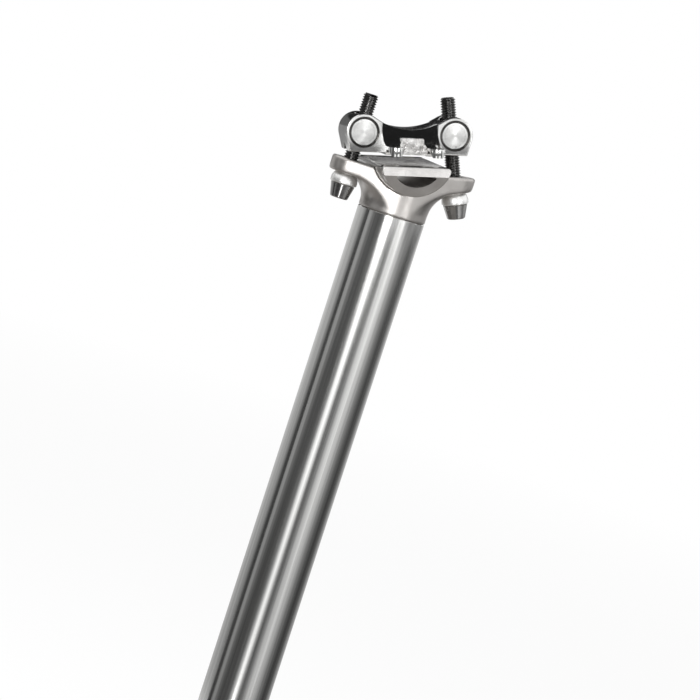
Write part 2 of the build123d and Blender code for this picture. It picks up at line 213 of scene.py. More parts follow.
def recast(bm, cell):
    """The same solid as an even skin of small faces."""
    mesh = bpy.data.meshes.new("recast")
    bm.to_mesh(mesh)
    bm.free()
    holder = bpy.data.objects.new("recast", mesh)
    bpy.context.scene.collection.objects.link(holder)
    remesh = holder.modifiers.new("recast", "REMESH")
    remesh.mode = "VOXEL"
    remesh.voxel_size = cell
    evaluated = holder.evaluated_get(bpy.context.evaluated_depsgraph_get())
    skin = bmesh.new()
    skin.from_mesh(evaluated.to_mesh())
    evaluated.to_mesh_clear()
    bpy.data.objects.remove(holder)
    bpy.data.meshes.remove(mesh)
    return skin


def ease(bm, verts, factor, passes):
    """Moves points towards the middle of their neighbours, as rubbing does."""
    for _ in range(passes):
        bmesh.ops.smooth_vert(
            bm, verts=verts, factor=factor, use_axis_x=True, use_axis_y=True, use_axis_z=True
        )


def on_sweep_edge(edge):
    """Is the edge outside the tube, sharp, and between a flank of the head and the sweep under an ear?"""
    middle = (edge.verts[0].co + edge.verts[1].co) / 2
    return (
        Vector((middle.x, middle.y)).length > TUBE_RADIUS
        and any(face.normal.z < TURNED_DOWN for face in edge.link_faces)
        and any(abs(face.normal.z) < UPRIGHT for face in edge.link_faces)
        and edge.calc_face_angle() > SWEEP_EDGE_TURN
    )


# The same satin grey also darkens the cradle's downward sloped ends, where it is painted shade under the
# bar.
satin_and_end_shade = metal(
    "satin_forging_and_end_shade",
    tints=((0.49, 0.47, 0.45), (0.57, 0.55, 0.53)),
    tint_cloud={"cycles": (160, 160, 160), "detail": 4},
    roughness=(0.31, 0.41),
    roughness_cloud={"cycles": (420, 420, 420), "detail": 5},
    relief=0.000004,
    relief_cloud={"cycles": (1400, 1400, 1400), "detail": 3},
)

sharp_head = merged_copy("head")
sweep_points = [sum((v.co for v in e.verts), Vector()) / 2 for e in sharp_head.edges if on_sweep_edge(e)]
near_sweep = KDTree(len(sweep_points))
for index, point in enumerate(sweep_points):
    near_sweep.insert(point, index)
near_sweep.balance()

forging = recast(sharp_head, FORGING_CELL)
ease(forging, forging.verts, SURFACE_EASE, SURFACE_PASSES)
sweep_verts = [vert for vert in forging.verts if near_sweep.find(vert.co)[2] < SWEEP_EDGE_REACH]
ease(forging, sweep_verts, SWEEP_EDGE_EASE, SWEEP_EDGE_PASSES)
shade_smooth(forging, FORGED_CRISP_TURN)
finish_piece(forging, "forged_head", "post", ["head"], [satin_and_end_shade])


# Lower cradle
# A half-round aluminium bar, extruded with its half-moon window and milled with two grooves on top. The
# inside of its window keeps a rough extruded skin, painted darker as painted shade in the window. Its
# sloped ends are blasted like the head, and their darker satin grey, on faces that point down, is also
# painted shade under the bar. It lies loose in the round seat of the head and rocks there.
CLAMP_MIDDLE = Vector((-0.0025, 0, 0.35))
CLAMP_SLOPE = radians(15)
CLAMP_ALONG = Vector((cos(CLAMP_SLOPE), 0, sin(CLAMP_SLOPE)))
CLAMP_UP = Vector((-CLAMP_ALONG.z, 0, CLAMP_ALONG.x))
WINDOW_TOP = 0.0058
WINDOW_REACH = 0.0102
WINDOW_SLACK = 0.0002
WINDOW_LEAN = 0.2
WINDOW_RIM_BREAK = 0.0005
SLOPED_END_LEAST = 0.8
SLOPED_END_MOST = 0.99
SLOPED_END_UNDERCUT = -0.2
MILLED_EDGE_BREAK = 0.00025
CRISP_TURN = radians(32)
FLAT_TURN = radians(0.2)
FLAT_AREA = 1e-6
SLIVER = 2e-5
DUST = 1e-6
MILL_MARKS = {"cycles": (260, 900, 260), "detail": 4}
EXTRUSION_LINES = {"cycles": (900, 22, 900), "detail": 4}


def in_window(face):
    """Is the face inside the half-moon window through the cradle?"""
    middle = face.calc_center_median() - CLAMP_MIDDLE
    along, above = middle.dot(CLAMP_ALONG), middle.dot(CLAMP_UP)
    return (
        abs(face.normal.y) < WINDOW_LEAN
        and -WINDOW_REACH < above < -WINDOW_TOP + WINDOW_SLACK
        and Vector((along, above)).length < WINDOW_REACH + WINDOW_SLACK
    )


def on_window_rim(edge):
    """Is the edge on the rim of the window, between its inside and an end of the cradle?"""
    return sum(in_window(face) for face in edge.link_faces) == 1


def on_sloped_end(face):
    """Is the face on one of the sloped ends below the bar?"""
    return (
        SLOPED_END_LEAST < abs(face.normal.y) < SLOPED_END_MOST
        and face.normal.dot(CLAMP_UP) < SLOPED_END_UNDERCUT
    )


def join_flats(bm):
    """Joins the triangles of each flat face."""
    bmesh.ops.dissolve_limit(bm, angle_limit=FLAT_TURN, verts=bm.verts, edges=bm.edges)


def drop_specks(bm, size):
    """Drops the edges and faces that are smaller than a size."""
    bmesh.ops.dissolve_degenerate(bm, dist=size, edges=bm.edges)


def crisp_edges(bm):
    """The edges that turn sharply enough to need breaking."""
    return [e for e in bm.edges if len(e.link_faces) == 2 and e.calc_face_angle() > CRISP_TURN]


def edge_runs(edges):
    """Sorts edges into runs that end where three or more of them meet, or where one stops."""
    meeting = {}
    for edge in edges:
        for vert in edge.verts:
            meeting.setdefault(vert, []).append(edge)
    runs, taken = [], set()
    for first in edges:
        if first in taken:
            continue
        taken.add(first)
        run, open_ends = [first], list(first.verts)
        while open_ends:
            vert = open_ends.pop()
            if len(meeting[vert]) != 2:
                continue
            for edge in meeting[vert]:
                if edge not in taken:
                    taken.add(edge)
                    run.append(edge)
                    open_ends.append(edge.other_vert(vert))
        runs.append(run)
    return runs


def break_edges(bm, edges, width):
    """Rounds edges by a width, or by less where they lie close, one run after the other."""
    for run in edge_runs(edges):
        bmesh.ops.bevel(
            bm,
            geom=[edge for edge in run if edge.is_valid],
            offset=width,
            offset_type="OFFSET",
            segments=3,
            profile=0.5,
            affect="EDGES",
            clamp_overlap=True,
            material=-1,
        )
    drop_specks(bm, DUST)


def shade_with_flats(bm):
    """Shades the faces smooth up to crisp edges, and keeps the joined flat faces dead flat."""
    shade_smooth(bm, CRISP_TURN)
    for face in bm.faces:
        if len(face.verts) > 4 and face.calc_area() > FLAT_AREA:
            face.smooth = False


milled = metal(
    "milled_aluminium",
    tints=((0.68, 0.665, 0.65), (0.76, 0.745, 0.73)),
    tint_cloud=MILL_MARKS,
    roughness=(0.15, 0.23),
    roughness_cloud={"cycles": (500, 500, 500), "detail": 4},
    relief=0.000002,
    relief_cloud=MILL_MARKS,
)
# The window's inside is darker than the milled faces: a rougher extruded skin, with painted shade in the
# window.
extruded_and_shaded = metal(
    "extruded_skin_painted_shade",
    tints=((0.5, 0.48, 0.465), (0.66, 0.64, 0.62)),
    tint_cloud=EXTRUSION_LINES,
    roughness=(0.36, 0.52),
    roughness_cloud=EXTRUSION_LINES,
    relief=0.00001,
    relief_cloud=EXTRUSION_LINES,
)

cradle = merged_copy("lower_cradle")
drop_specks(cradle, SLIVER)
join_flats(cradle)
break_edges(cradle, [edge for edge in crisp_edges(cradle) if on_window_rim(edge)], WINDOW_RIM_BREAK)
break_edges(cradle, crisp_edges(cradle), MILLED_EDGE_BREAK)
shade_with_flats(cradle)
# Inside the window the darker skin is painted shade; on the downward sloped ends the darker satin is
# painted shade.
for face in cradle.faces:
    if in_window(face):
        face.material_index = 1
    elif on_sloped_end(face):
        face.material_index = 2
finish_piece(cradle, "rail_cradle", "rail_clamp", ["lower_cradle"], [milled, extruded_and_shaded, satin_and_end_shade])


# Upper clamp
# A die-cast aluminium bridge with a boss at each end for the cross nuts and two round toes on each side.
# It is buffed to a mirror, apart from the ends of its middle rib, which stay as they came from the mould.
BUFFED_EDGE_BREAK = 0.0003
GROOVE_MIDDLE = 0.0216
GROOVE_RADIUS = 0.0035
TOE_MIDDLES = (-0.00805, 0.00805)
TOE_HALF_WIDTH = 0.00305
TOE_FOOT = 0.0196
TOE_END = 0.0257
TOE_TOP = 0.0047
TOE_LEVEL = 0.999
TOE_SIDE_CUTS = 8
TOE_ROUND_WIDTH = 0.0017
TOE_ROUND_DEPTH = 0.0021
TOE_ROUND_STEPS = 6
TOE_SKIN = 0.0003
HOLE_RADIUS = 0.00605
BOSS_FACE = 0.009
PLACE_SLACK = 2e-5
NUT_RISE = 0.009
NUT_REACH = 0.018
NUT_MIDDLES = [
    CLAMP_MIDDLE + CLAMP_ALONG * along + CLAMP_UP * NUT_RISE for along in (-NUT_REACH, NUT_REACH)
]
RIB_REACH = 0.015
RIB_END_SLACK = 0.0004
CAST_GRAIN = {"cycles": (420, 420, 420), "detail": 7}


def on_toe_top(face):
    """Is the face the flat top of a toe?"""
    return face.normal.dot(CLAMP_UP) > TOE_LEVEL and all(
        abs(vert.co.y) > TOE_FOOT - PLACE_SLACK
        and abs((vert.co - CLAMP_MIDDLE).dot(CLAMP_UP) - TOE_TOP) < PLACE_SLACK
        for vert in face.verts
    )


def toe_drop(along, out):
    """How far a toe's rounded top lies below its crown, at a place along and out from the middle."""
    aside = min(abs(along - middle) for middle in TOE_MIDDLES)
    past_end_centre = max(out - TOE_END + TOE_HALF_WIDTH, 0)
    from_rim = TOE_HALF_WIDTH - Vector((aside, past_end_centre)).length
    over_groove = TOE_TOP - max(GROOVE_RADIUS**2 - (out - GROOVE_MIDDLE) ** 2, 0) ** 0.5
    depth = min(TOE_ROUND_DEPTH, over_groove - TOE_SKIN) * min((out - TOE_FOOT) / TOE_ROUND_WIDTH, 1)
    to_rim = min(max(1 - from_rim / TOE_ROUND_WIDTH, 0), 1)
    return depth * (1 - (1 - to_rim**2) ** 0.5)


def round_toes(bm):
    """Rounds off the tops of the toes, and more at their ends, where there is more metal."""
    sides = [
        edge
        for face in bm.faces
        if on_toe_top(face)
        for edge in face.edges
        if abs(edge.verts[0].co.y - edge.verts[1].co.y) > TOE_HALF_WIDTH / 2
    ]
    bmesh.ops.subdivide_edges(bm, edges=sides, cuts=TOE_SIDE_CUTS)
    tops = [face for face in bm.faces if on_toe_top(face)]
    rounded = {vert for face in tops for vert in face.verts}
    reached = 0
    for step in range(1, TOE_ROUND_STEPS + 1):
        inward = TOE_ROUND_WIDTH * (1 - cos(pi / 2 * step / TOE_ROUND_STEPS))
        bmesh.ops.inset_region(bm, faces=tops, thickness=inward - reached, depth=0, use_even_offset=True)
        rounded |= {vert for face in tops for vert in face.verts}
        reached = inward
    for vert in rounded:
        along = (vert.co - CLAMP_MIDDLE).dot(CLAMP_ALONG)
        vert.co -= CLAMP_UP * toe_drop(along, abs(vert.co.y))


def from_nut_line(point):
    """The distance of a point from the middle line of the nearer cross nut."""
    return min(Vector((point.x - middle.x, point.z - middle.z)).length for middle in NUT_MIDDLES)


def on_hole_rim(edge):
    """Is the edge on the rim of a cross hole, which is reamed last and stays sharp?"""
    return all(
        abs(abs(vert.co.y) - BOSS_FACE) < PLACE_SLACK
        and abs(from_nut_line(vert.co) - HOLE_RADIUS) < PLACE_SLACK
        for vert in edge.verts
    )


buffed = metal(
    "buffed_casting",
    tints=((0.74, 0.74, 0.73), (0.83, 0.83, 0.82)),
    tint_cloud={"cycles": (240, 240, 240), "detail": 6},
    roughness=(0.09, 0.16),
    roughness_cloud={"cycles": (130, 130, 130), "detail": 8, "distortion": 0.6},
    relief=0.000012,
    relief_cloud={"cycles": (330, 330, 330), "detail": 2},
)
as_cast = metal(
    "as_cast_skin",
    tints=((0.4, 0.39, 0.38), (0.8, 0.79, 0.78)),
    tint_cloud=CAST_GRAIN,
    roughness=(0.22, 0.5),
    roughness_cloud=CAST_GRAIN,
    relief=0.0009,
    relief_cloud=CAST_GRAIN,
)

bridge = merged_copy("upper_clamp")
drop_specks(bridge, SLIVER)
join_flats(bridge)
round_toes(bridge)
break_edges(bridge, [edge for edge in crisp_edges(bridge) if not on_hole_rim(edge)], BUFFED_EDGE_BREAK)
shade_with_flats(bridge)
for face in bridge.faces:
    at_rib_end = all(abs(abs(vert.co.y) - RIB_REACH) < RIB_END_SLACK for vert in face.verts)
    face.material_index = 1 if at_rib_end else 0
finish_piece(bridge, "clamp_bridge", "rail_clamp", ["upper_clamp"], [buffed, as_cast])


# Cross nuts
# Tempered steel pins that lie across the bosses, drilled and tapped in the middle for the bolts. Their
# ends are faced bright in the lathe, and the rest keeps its dark skin, made extra dark as painted shade
# in the gap around each end, which shows as a ring around them.
SIDES = ("front", "rear")
FACING_RING = 0.0009
FACING_STEP = 0.00006
FACED_END = 0.99
FACED_END_AREA = 1e-5
FACING_SHEEN = 0.75
NUT_CRISP_TURN = radians(25)

faced = metal(
    "turned_steel",
    tints=((0.74, 0.74, 0.73), (0.85, 0.85, 0.84)),
    tint_cloud={"cycles": (300, 300, 300), "detail": 5},
    roughness=(0.18, 0.27),
    roughness_cloud={"cycles": (350, 350, 350), "detail": 3},
)
facing_way = faced.node_tree.nodes.new("ShaderNodeTangent")
facing_way.direction_type = "RADIAL"
facing_way.axis = "Y"
faced_shader = faced.node_tree.nodes["Principled BSDF"]
faced_shader.inputs["Anisotropic"].default_value = FACING_SHEEN
faced.node_tree.links.new(facing_way.outputs["Tangent"], faced_shader.inputs["Tangent"])

# The dark skin on the walls and the rim's chamfer is also painted shade for the gap around the faced end.
tempered_and_shaded = metal(
    "tempered_skin_painted_shade",
    tints=((0.24, 0.235, 0.23), (0.32, 0.315, 0.31)),
    tint_cloud={"cycles": (300, 300, 300), "detail": 5},
    roughness=(0.12, 0.2),
    roughness_cloud={"cycles": (350, 350, 350), "detail": 3},
)

for side in SIDES:
    nut = merged_copy(side + "_barrel_nut")
    join_flats(nut)
    ends = [f for f in nut.faces if abs(f.normal.y) > FACED_END and f.calc_area() > FACED_END_AREA]
    for thickness, depth in ((FACING_RING, 0), (FACING_STEP, -FACING_STEP)):
        bmesh.ops.inset_region(nut, faces=ends, thickness=thickness, depth=depth, use_even_offset=True)
    shade_smooth(nut, NUT_CRISP_TURN)
    # Every face that doesn't face along the pin, the chamfer too, gets the dark skin with its painted
    # shade.
    for face in nut.faces:
        face.material_index = 1 if abs(face.normal.y) < FACED_END else 0
    finish_piece(
        nut, side + "_cross_nut", side + "_nut", [side + "_barrel_nut"], [faced, tempered_and_shaded]
    )


# Bolts
# Dark hardened steel screws with an oily rolled thread, a turned taper head and a broached hexagon socket.
# The thread is painted much darker than the head, as painted shade in its grooves and a painted dark
# reflection.
# Each pulls its nut down on its own line: the front one parallel to the tube, the rear one leaning in.
BOLT_LINES = {
    "front": {"ball": Vector((-0.022216, 0, 0.333335)), "lean": 0.0, "length": 0.0365},
    "rear": {"ball": Vector((0.022865, 0, 0.338831)), "lean": radians(-22.8), "length": 0.042},
}
BOLT_RADIUS = 0.003
BOLT_CRISP_TURN = radians(28)
SHANK_RADIUS = 0.00296
TIP_BREAK = 0.0007
THREAD_ROOT = 0.00246
THREAD_PITCH = 0.001
THREAD_START = 0.0085
THREAD_PROFILE = [
    (THREAD_ROOT, 0.0),
    (THREAD_ROOT, 0.16),
    (BOLT_RADIUS, 0.5),
    (BOLT_RADIUS, 0.66),
    (THREAD_ROOT, 1.0),
]
TURN_STEPS = 36
SPARE_TURNS_BELOW = 2
SPARE_TURNS_ABOVE = 3
UNDER_HEAD = -0.001
HEAD_HEIGHT = 0.0058
HEAD_RADIUS = 0.0048
HEAD_TIP_RADIUS = 0.0036
HEAD_EDGE_BREAK = 0.00035
HEAD_SEGMENTS = 96
HEAD_BOTTOM = UNDER_HEAD - HEAD_HEIGHT
SOCKET_SIDES = 6
SOCKET_HALF_WIDTH = 0.0025
SOCKET_CORNER = SOCKET_HALF_WIDTH / cos(pi / SOCKET_SIDES)
SOCKET_DEPTH = 0.0036
SOCKET_LEAD = 0.0003
SOCKET_MOUTH = SOCKET_CORNER + SOCKET_LEAD


def on_bolt_line(side):
    """Places what is drawn about Z, with the centre of its ball washer at the origin, on a bolt's line."""
    line = BOLT_LINES[side]
    return Matrix.Translation(line["ball"]) @ Matrix.Rotation(line["lean"], 4, "Y")


def rolled_thread(top):
    """A thread of whole turns about Z, cut off square at both ends, with a pointed lead at the top."""
    bm = bmesh.new()
    start = THREAD_START - SPARE_TURNS_BELOW * THREAD_PITCH
    turns = int((top - start) / THREAD_PITCH) + SPARE_TURNS_ABOVE
    chain = [bm.verts.new((radius, 0, start + share * THREAD_PITCH)) for radius, share in THREAD_PROFILE]
    edges = [bm.edges.new(pair) for pair in zip(chain, chain[1:])]
    bmesh.ops.spin(
        bm,
        geom=chain + edges,
        cent=(0, 0, 0),
        axis=(0, 0, 1),
        dvec=(0, 0, THREAD_PITCH / TURN_STEPS),
        angle=2 * pi * turns,
        steps=TURN_STEPS * turns,
    )
    bmesh.ops.remove_doubles(bm, verts=bm.verts, dist=DUST)
    for level, at_top in ((THREAD_START, False), (top, True)):
        cut = bmesh.ops.bisect_plane(
            bm,
            geom=bm.verts[:] + bm.edges[:] + bm.faces[:],
            plane_co=(0, 0, level),
            plane_no=(0, 0, 1),
            clear_outer=at_top,
            clear_inner=not at_top,
        )
        rim = [part for part in cut["geom_cut"] if isinstance(part, bmesh.types.BMEdge)]
        bmesh.ops.edgeloop_fill(bm, edges=rim)
    for vert in bm.verts:
        reach = Vector((vert.co.x, vert.co.y)).length
        limit = BOLT_RADIUS - TIP_BREAK + (top - vert.co.z)
        if reach > limit:
            vert.co.x *= limit / reach
            vert.co.y *= limit / reach
    bmesh.ops.recalc_face_normals(bm, faces=bm.faces)
    return bm


def tapered_head():
    """The screw's head and plain neck, with the hexagon socket sunk into the lower end."""
    bm = turned(
        [
            (SOCKET_MOUTH, HEAD_BOTTOM),
            (HEAD_TIP_RADIUS - HEAD_EDGE_BREAK, HEAD_BOTTOM),
            (HEAD_TIP_RADIUS, HEAD_BOTTOM + HEAD_EDGE_BREAK),
            (HEAD_RADIUS, UNDER_HEAD - HEAD_EDGE_BREAK),
            (HEAD_RADIUS - HEAD_EDGE_BREAK, UNDER_HEAD),
            (SHANK_RADIUS, UNDER_HEAD),
            (SHANK_RADIUS, THREAD_START),
            (THREAD_ROOT, THREAD_START + BOLT_RADIUS - THREAD_ROOT),
            (THREAD_ROOT - HEAD_EDGE_BREAK, THREAD_START),
            (THREAD_ROOT - HEAD_EDGE_BREAK, HEAD_BOTTOM + SOCKET_DEPTH + HEAD_EDGE_BREAK),
            (SOCKET_MOUTH, HEAD_BOTTOM + SOCKET_DEPTH),
        ],
        HEAD_SEGMENTS,
    )
    round_bore = [
        face
        for face in bm.faces
        if all(abs(Vector((vert.co.x, vert.co.y)).length - SOCKET_MOUTH) < DUST for vert in face.verts)
    ]
    bmesh.ops.delete(bm, geom=round_bore, context="FACES")
    rims = [edge for edge in bm.edges if edge.is_boundary]
    mouth = [edge for edge in rims if edge.verts[0].co.z < HEAD_BOTTOM + SOCKET_DEPTH / 2]
    bottom = [edge for edge in rims if edge not in mouth]
    hexagon = bmesh.ops.create_circle(
        bm,
        segments=SOCKET_SIDES,
        radius=SOCKET_CORNER,
        matrix=Matrix.Translation((0, 0, HEAD_BOTTOM + SOCKET_LEAD)),
    )["verts"]
    low_edges = [edge for edge in bm.edges if all(vert in hexagon for vert in edge.verts)]
    bmesh.ops.bridge_loops(bm, edges=mouth + low_edges)
    raised = bmesh.ops.extrude_edge_only(bm, edges=low_edges)["geom"]
    high = [part for part in raised if isinstance(part, bmesh.types.BMVert)]
    high_edges = [
        part
        for part in raised
        if isinstance(part, bmesh.types.BMEdge) and all(vert in high for vert in part.verts)
    ]
    bmesh.ops.translate(bm, verts=high, vec=(0, 0, SOCKET_DEPTH - SOCKET_LEAD))
    bmesh.ops.bridge_loops(bm, edges=bottom + high_edges)
    bmesh.ops.holes_fill(bm, edges=[edge for edge in bm.edges if edge.is_boundary], sides=0)
    bmesh.ops.recalc_face_normals(bm, faces=bm.faces)
    return bm


hardened = metal(
    "hardened_steel",
    tints=((0.32, 0.315, 0.31), (0.43, 0.425, 0.42)),
    tint_cloud={"cycles": (400, 400, 400), "detail": 5},
    roughness=(0.1, 0.2),
    roughness_cloud={"cycles": (700, 700, 700), "detail": 4},
    relief=0.000001,
    relief_cloud={"cycles": (900, 900, 900), "detail": 2},
)
# The thread's near-black tone is painted shade and a painted dark reflection, on top of the oil.
oily_and_shaded = metal(
    "oily_thread_painted_shade",
    tints=((0.09, 0.089, 0.087), (0.17, 0.167, 0.164)),
    tint_cloud={"cycles": (500, 500, 500), "detail": 5},
    roughness=(0.2, 0.32),
    roughness_cloud={"cycles": (700, 700, 700), "detail": 4},
)

for side, line in BOLT_LINES.items():
    screw = tapered_head()
    thread = rolled_thread(line["length"] + UNDER_HEAD)
    for face in thread.faces:
        face.material_index = 1
    thread_mesh = bpy.data.meshes.new("thread")
    thread.to_mesh(thread_mesh)
    thread.free()
    screw.from_mesh(thread_mesh)
    bpy.data.meshes.remove(thread_mesh)
    bmesh.ops.transform(screw, matrix=on_bolt_line(side), verts=screw.verts)
    shade_smooth(screw, BOLT_CRISP_TURN)
    finish_piece(
        screw, side + "_socket_screw", side + "_screw", [side + "_bolt"], [hardened, oily_and_shaded]
    )


# Ball washers
# Plated steel washers with a round back, which sit in a ball seat under each ear and let the bolt swing.
# The flat side faces the bolt's head.
BALL_RADIUS = 0.00535
BALL_BASE = -0.001
BALL_BORE_RADIUS = 0.0033
BALL_EDGE_BREAK = 0.0003
BALL_ARC_START = radians(-7.5)
BALL_BORE_RISE = (BALL_RADIUS**2 - BALL_BORE_RADIUS**2) ** 0.5
BALL_ARC_END = Vector((1, 0)).angle(Vector((BALL_BORE_RADIUS, BALL_BORE_RISE)))
BALL_ARC_STEPS = 28
BALL_FOOT_RADIUS = (BALL_RADIUS**2 - BALL_BASE**2) ** 0.5 - BALL_EDGE_BREAK
BALL_SEGMENTS = 128
BALL_CRISP_TURN = radians(30)

plated = metal(
    "bright_plating",
    tints=((0.9, 0.9, 0.89), (0.96, 0.96, 0.95)),
    tint_cloud={"cycles": (420, 420, 420), "detail": 5},
    roughness=(0.37, 0.43),
    roughness_cloud={"cycles": (260, 260, 260), "detail": 5, "distortion": 0.4},
    relief=0.000002,
    relief_cloud={"cycles": (900, 900, 900), "detail": 2},
)

ball_arc = [
    BALL_ARC_START + (BALL_ARC_END - BALL_ARC_START) * step / BALL_ARC_STEPS
    for step in range(BALL_ARC_STEPS + 1)
]
washer_outline = [(BALL_RADIUS * cos(angle), BALL_RADIUS * sin(angle)) for angle in ball_arc]
washer_outline += [(BALL_BORE_RADIUS, BALL_BASE), (BALL_FOOT_RADIUS, BALL_BASE)]
for side in SIDES:
    washer = turned(washer_outline, BALL_SEGMENTS)
    bmesh.ops.transform(washer, matrix=on_bolt_line(side), verts=washer.verts)
    shade_smooth(washer, BALL_CRISP_TURN)
    finish_piece(
        washer, side + "_ball_washer", side + "_screw", [side + "_washer"], [plated]
    )


# Floor and light
# A plain pale floor under a soft lamp, and a round tent of grey and white cloth that the bright metal
# mirrors. The tent, its matting and the pale and dark cards hung in it are seen only in reflections.
CAMERA_TURN = -13.0
TENT_RADIUS = 1.25
TENT_FOOT = -0.5
TENT_TOP = 1.5
TENT_STEPS = 180
TENT_TONES = [
    (-178, 0.75),
    (-147, 0.8),
    (-123, 0.66),
    (-106, 0.56),
    (-95, 0.3),
    (-89, 0.09),
    (-79, 0.07),
    (-74, 0.5),
    (-67, 0.5),
    (-61, 0.26),
    (-47, 0.12),
    (-28, 0.14),
    (-18, 0.24),
    (-12, 0.6),
    (-7, 1.5),
    (-3, 2.1),
    (1, 2.1),
    (5, 1.3),
    (9, 0.6),
    (14, 0.2),
    (20, 0.22),
    (28, 0.45),
    (37, 1.0),
    (47, 1.35),
    (57, 1.05),
    (68, 0.7),
    (80, 0.38),
    (92, 0.2),
    (106, 0.09),
    (124, 0.16),
    (140, 0.45),
    (160, 0.7),
]
CANOPY_START = 0.5
CANOPY_FULL = 0.75
CANOPY_TONE = 1.1
DUSK_HEIGHTS = (-0.1, 0.2)
DUSK_SHARES = (0.72, 1.0)
MATTING_COLOUR = (0.33, 0.315, 0.3)
MATTING_STEPS = 64
CARD_INSET = 0.05
CARD_STEPS = 12
HUNG_CARDS = {
    "head_card": {"turn": -16, "width": 22, "low": 0.28, "high": 0.5, "tone": 9.5},
    "side_card": {"turn": 6, "width": 28, "low": 0.28, "high": 0.325, "tone": 2.2},
    "nut_card": {"turn": 6, "width": 28, "low": 0.325, "high": 0.55, "tone": 0.8},
    "collar_card": {"turn": 34, "width": 18, "low": 0.3, "high": 0.75, "tone": 3.6},
    "shade_card": {"turn": 56, "width": 24, "low": 0.27, "high": 0.75, "tone": 0.15},
    "flank_card": {"turn": 84, "width": 46, "low": 0.27, "high": 0.6, "tone": 0.7},
    "boss_card": {"turn": -180, "width": 40, "low": 0.28, "high": 0.6, "tone": 0.12},
    "ear_card": {"turn": -165, "width": 70, "low": -0.5, "high": -0.22, "tone": 1.1},
    "bolt_card": {"turn": -6, "width": 8, "low": -0.5, "high": -0.23, "tone": 6.0},
    "band_card": {"turn": 15, "width": 45, "low": -0.5, "high": -0.24, "tone": 0.2},
}
FELT_TONE = 0.015
SERGE_TONE = 0.25
FLANNEL_HEIGHTS = (0.0008, 0.0036)
FLANNEL_TONES = (0.16, 0.9)
FLOOR_TONE = 0.9
FLOOR_ROUGHNESS = 0.9
FLOOR_HALF_WIDTH = 20
FLOOR_HEIGHT = -0.0015
BLEACH_DISTANCES = (0.3, 1.8)
BLEACH_SHARES = (0.35, 1.0)
AMBIENT_STRENGTH = 0.9
LAMP_SIZE = 0.9
LAMP_ENERGY = 12
LAMP_PLACE = Vector((-0.7, -0.8, 1.5))
LAMP_AIM = Vector((0, 0, 0.2))


def glow(name, colour=None):
    """A material that only shines, in one colour if it is given."""
    material = bpy.data.materials.new(name)
    material.use_nodes = True
    tree = material.node_tree
    tree.nodes.clear()
    shine = tree.nodes.new("ShaderNodeEmission")
    if colour:
        shine.inputs["Color"].default_value = (*colour, 1)
    output = tree.nodes.new("ShaderNodeOutputMaterial")
    tree.links.new(shine.outputs["Emission"], output.inputs["Surface"])
    return material


def mapped(tree, source, start, end, results=(0.0, 1.0)):
    """Turns a value that runs from a start to an end into one that runs between two results."""
    span = tree.nodes.new("ShaderNodeMapRange")
    span.inputs["From Min"].default_value = start
    span.inputs["From Max"].default_value = end
    span.inputs["To Min"].default_value = results[0]
    span.inputs["To Max"].default_value = results[1]
    tree.links.new(source, span.inputs["Value"])
    return span.outputs["Result"]


def staged(bm, name, material):
    """Makes an object of the bmesh that isn't part of the seatpost."""
    mesh = bpy.data.meshes.new(name)
    bm.to_mesh(mesh)
    bm.free()
    mesh.materials.append(material)
    thing = bpy.data.objects.new(name, mesh)
    bpy.context.scene.collection.objects.link(thing)
    return thing


def only_mirrored(thing):
    """Lets a thing be seen in reflections and nowhere else."""
    thing.visible_camera = False
    thing.visible_diffuse = False
    thing.visible_transmission = False
    thing.visible_volume_scatter = False
    thing.visible_shadow = False


def round_cloth(name, material, radius, low, high, turn=0.0, width=360.0, steps=TENT_STEPS):
    """Hangs a cloth on a circle about the post, from a turn past the camera's side, in degrees."""
    cloth = bmesh.new()
    hem = [cloth.verts.new((radius, 0, height)) for height in (low, high)]
    pole = cloth.edges.new(hem)
    start = Matrix.Rotation(radians(CAMERA_TURN - 90 + turn), 3, "Z")
    bmesh.ops.rotate(cloth, verts=hem, cent=(0, 0, 0), matrix=start)
    bmesh.ops.spin(
        cloth,
        geom=hem + [pole],
        cent=(0, 0, 0),
        axis=(0, 0, 1),
        angle=radians(width),
        steps=steps,
        use_merge=width == 360,
    )
    only_mirrored(staged(cloth, name, material))


def flat_card(name, material, middle, half_size, tip=pi / 2, slope=0.0):
    """Sets a flat card near the clamp, tipped up from lying flat and sloped as the clamp is."""
    card = bmesh.new()
    bmesh.ops.create_grid(
        card,
        x_segments=1,
        y_segments=1,
        size=1,
        matrix=Matrix.Translation(middle)
        @ Matrix.Rotation(-slope, 4, "Y")
        @ Matrix.Rotation(tip, 4, "X")
        @ Matrix.Diagonal((*half_size, 1, 1)),
    )
    only_mirrored(staged(card, name, material))


def by_the_clamp(along, out, above):
    """A place along the clamp, out towards the camera's side, and above the clamp's middle."""
    return CLAMP_MIDDLE + CLAMP_ALONG * along + CLAMP_UP * above - Vector((0, out, 0))


def seen_plainly(tree):
    """Is a ray from the camera, a mirror or a lens, so that it should find the white background?"""
    path = tree.nodes.new("ShaderNodeLightPath")
    answer = path.outputs["Is Camera Ray"]
    for ray in ("Is Glossy Ray", "Is Transmission Ray"):
        either = tree.nodes.new("ShaderNodeMath")
        either.operation = "MAXIMUM"
        tree.links.new(answer, either.inputs[0])
        tree.links.new(path.outputs[ray], either.inputs[1])
        answer = either.outputs["Value"]
    return answer


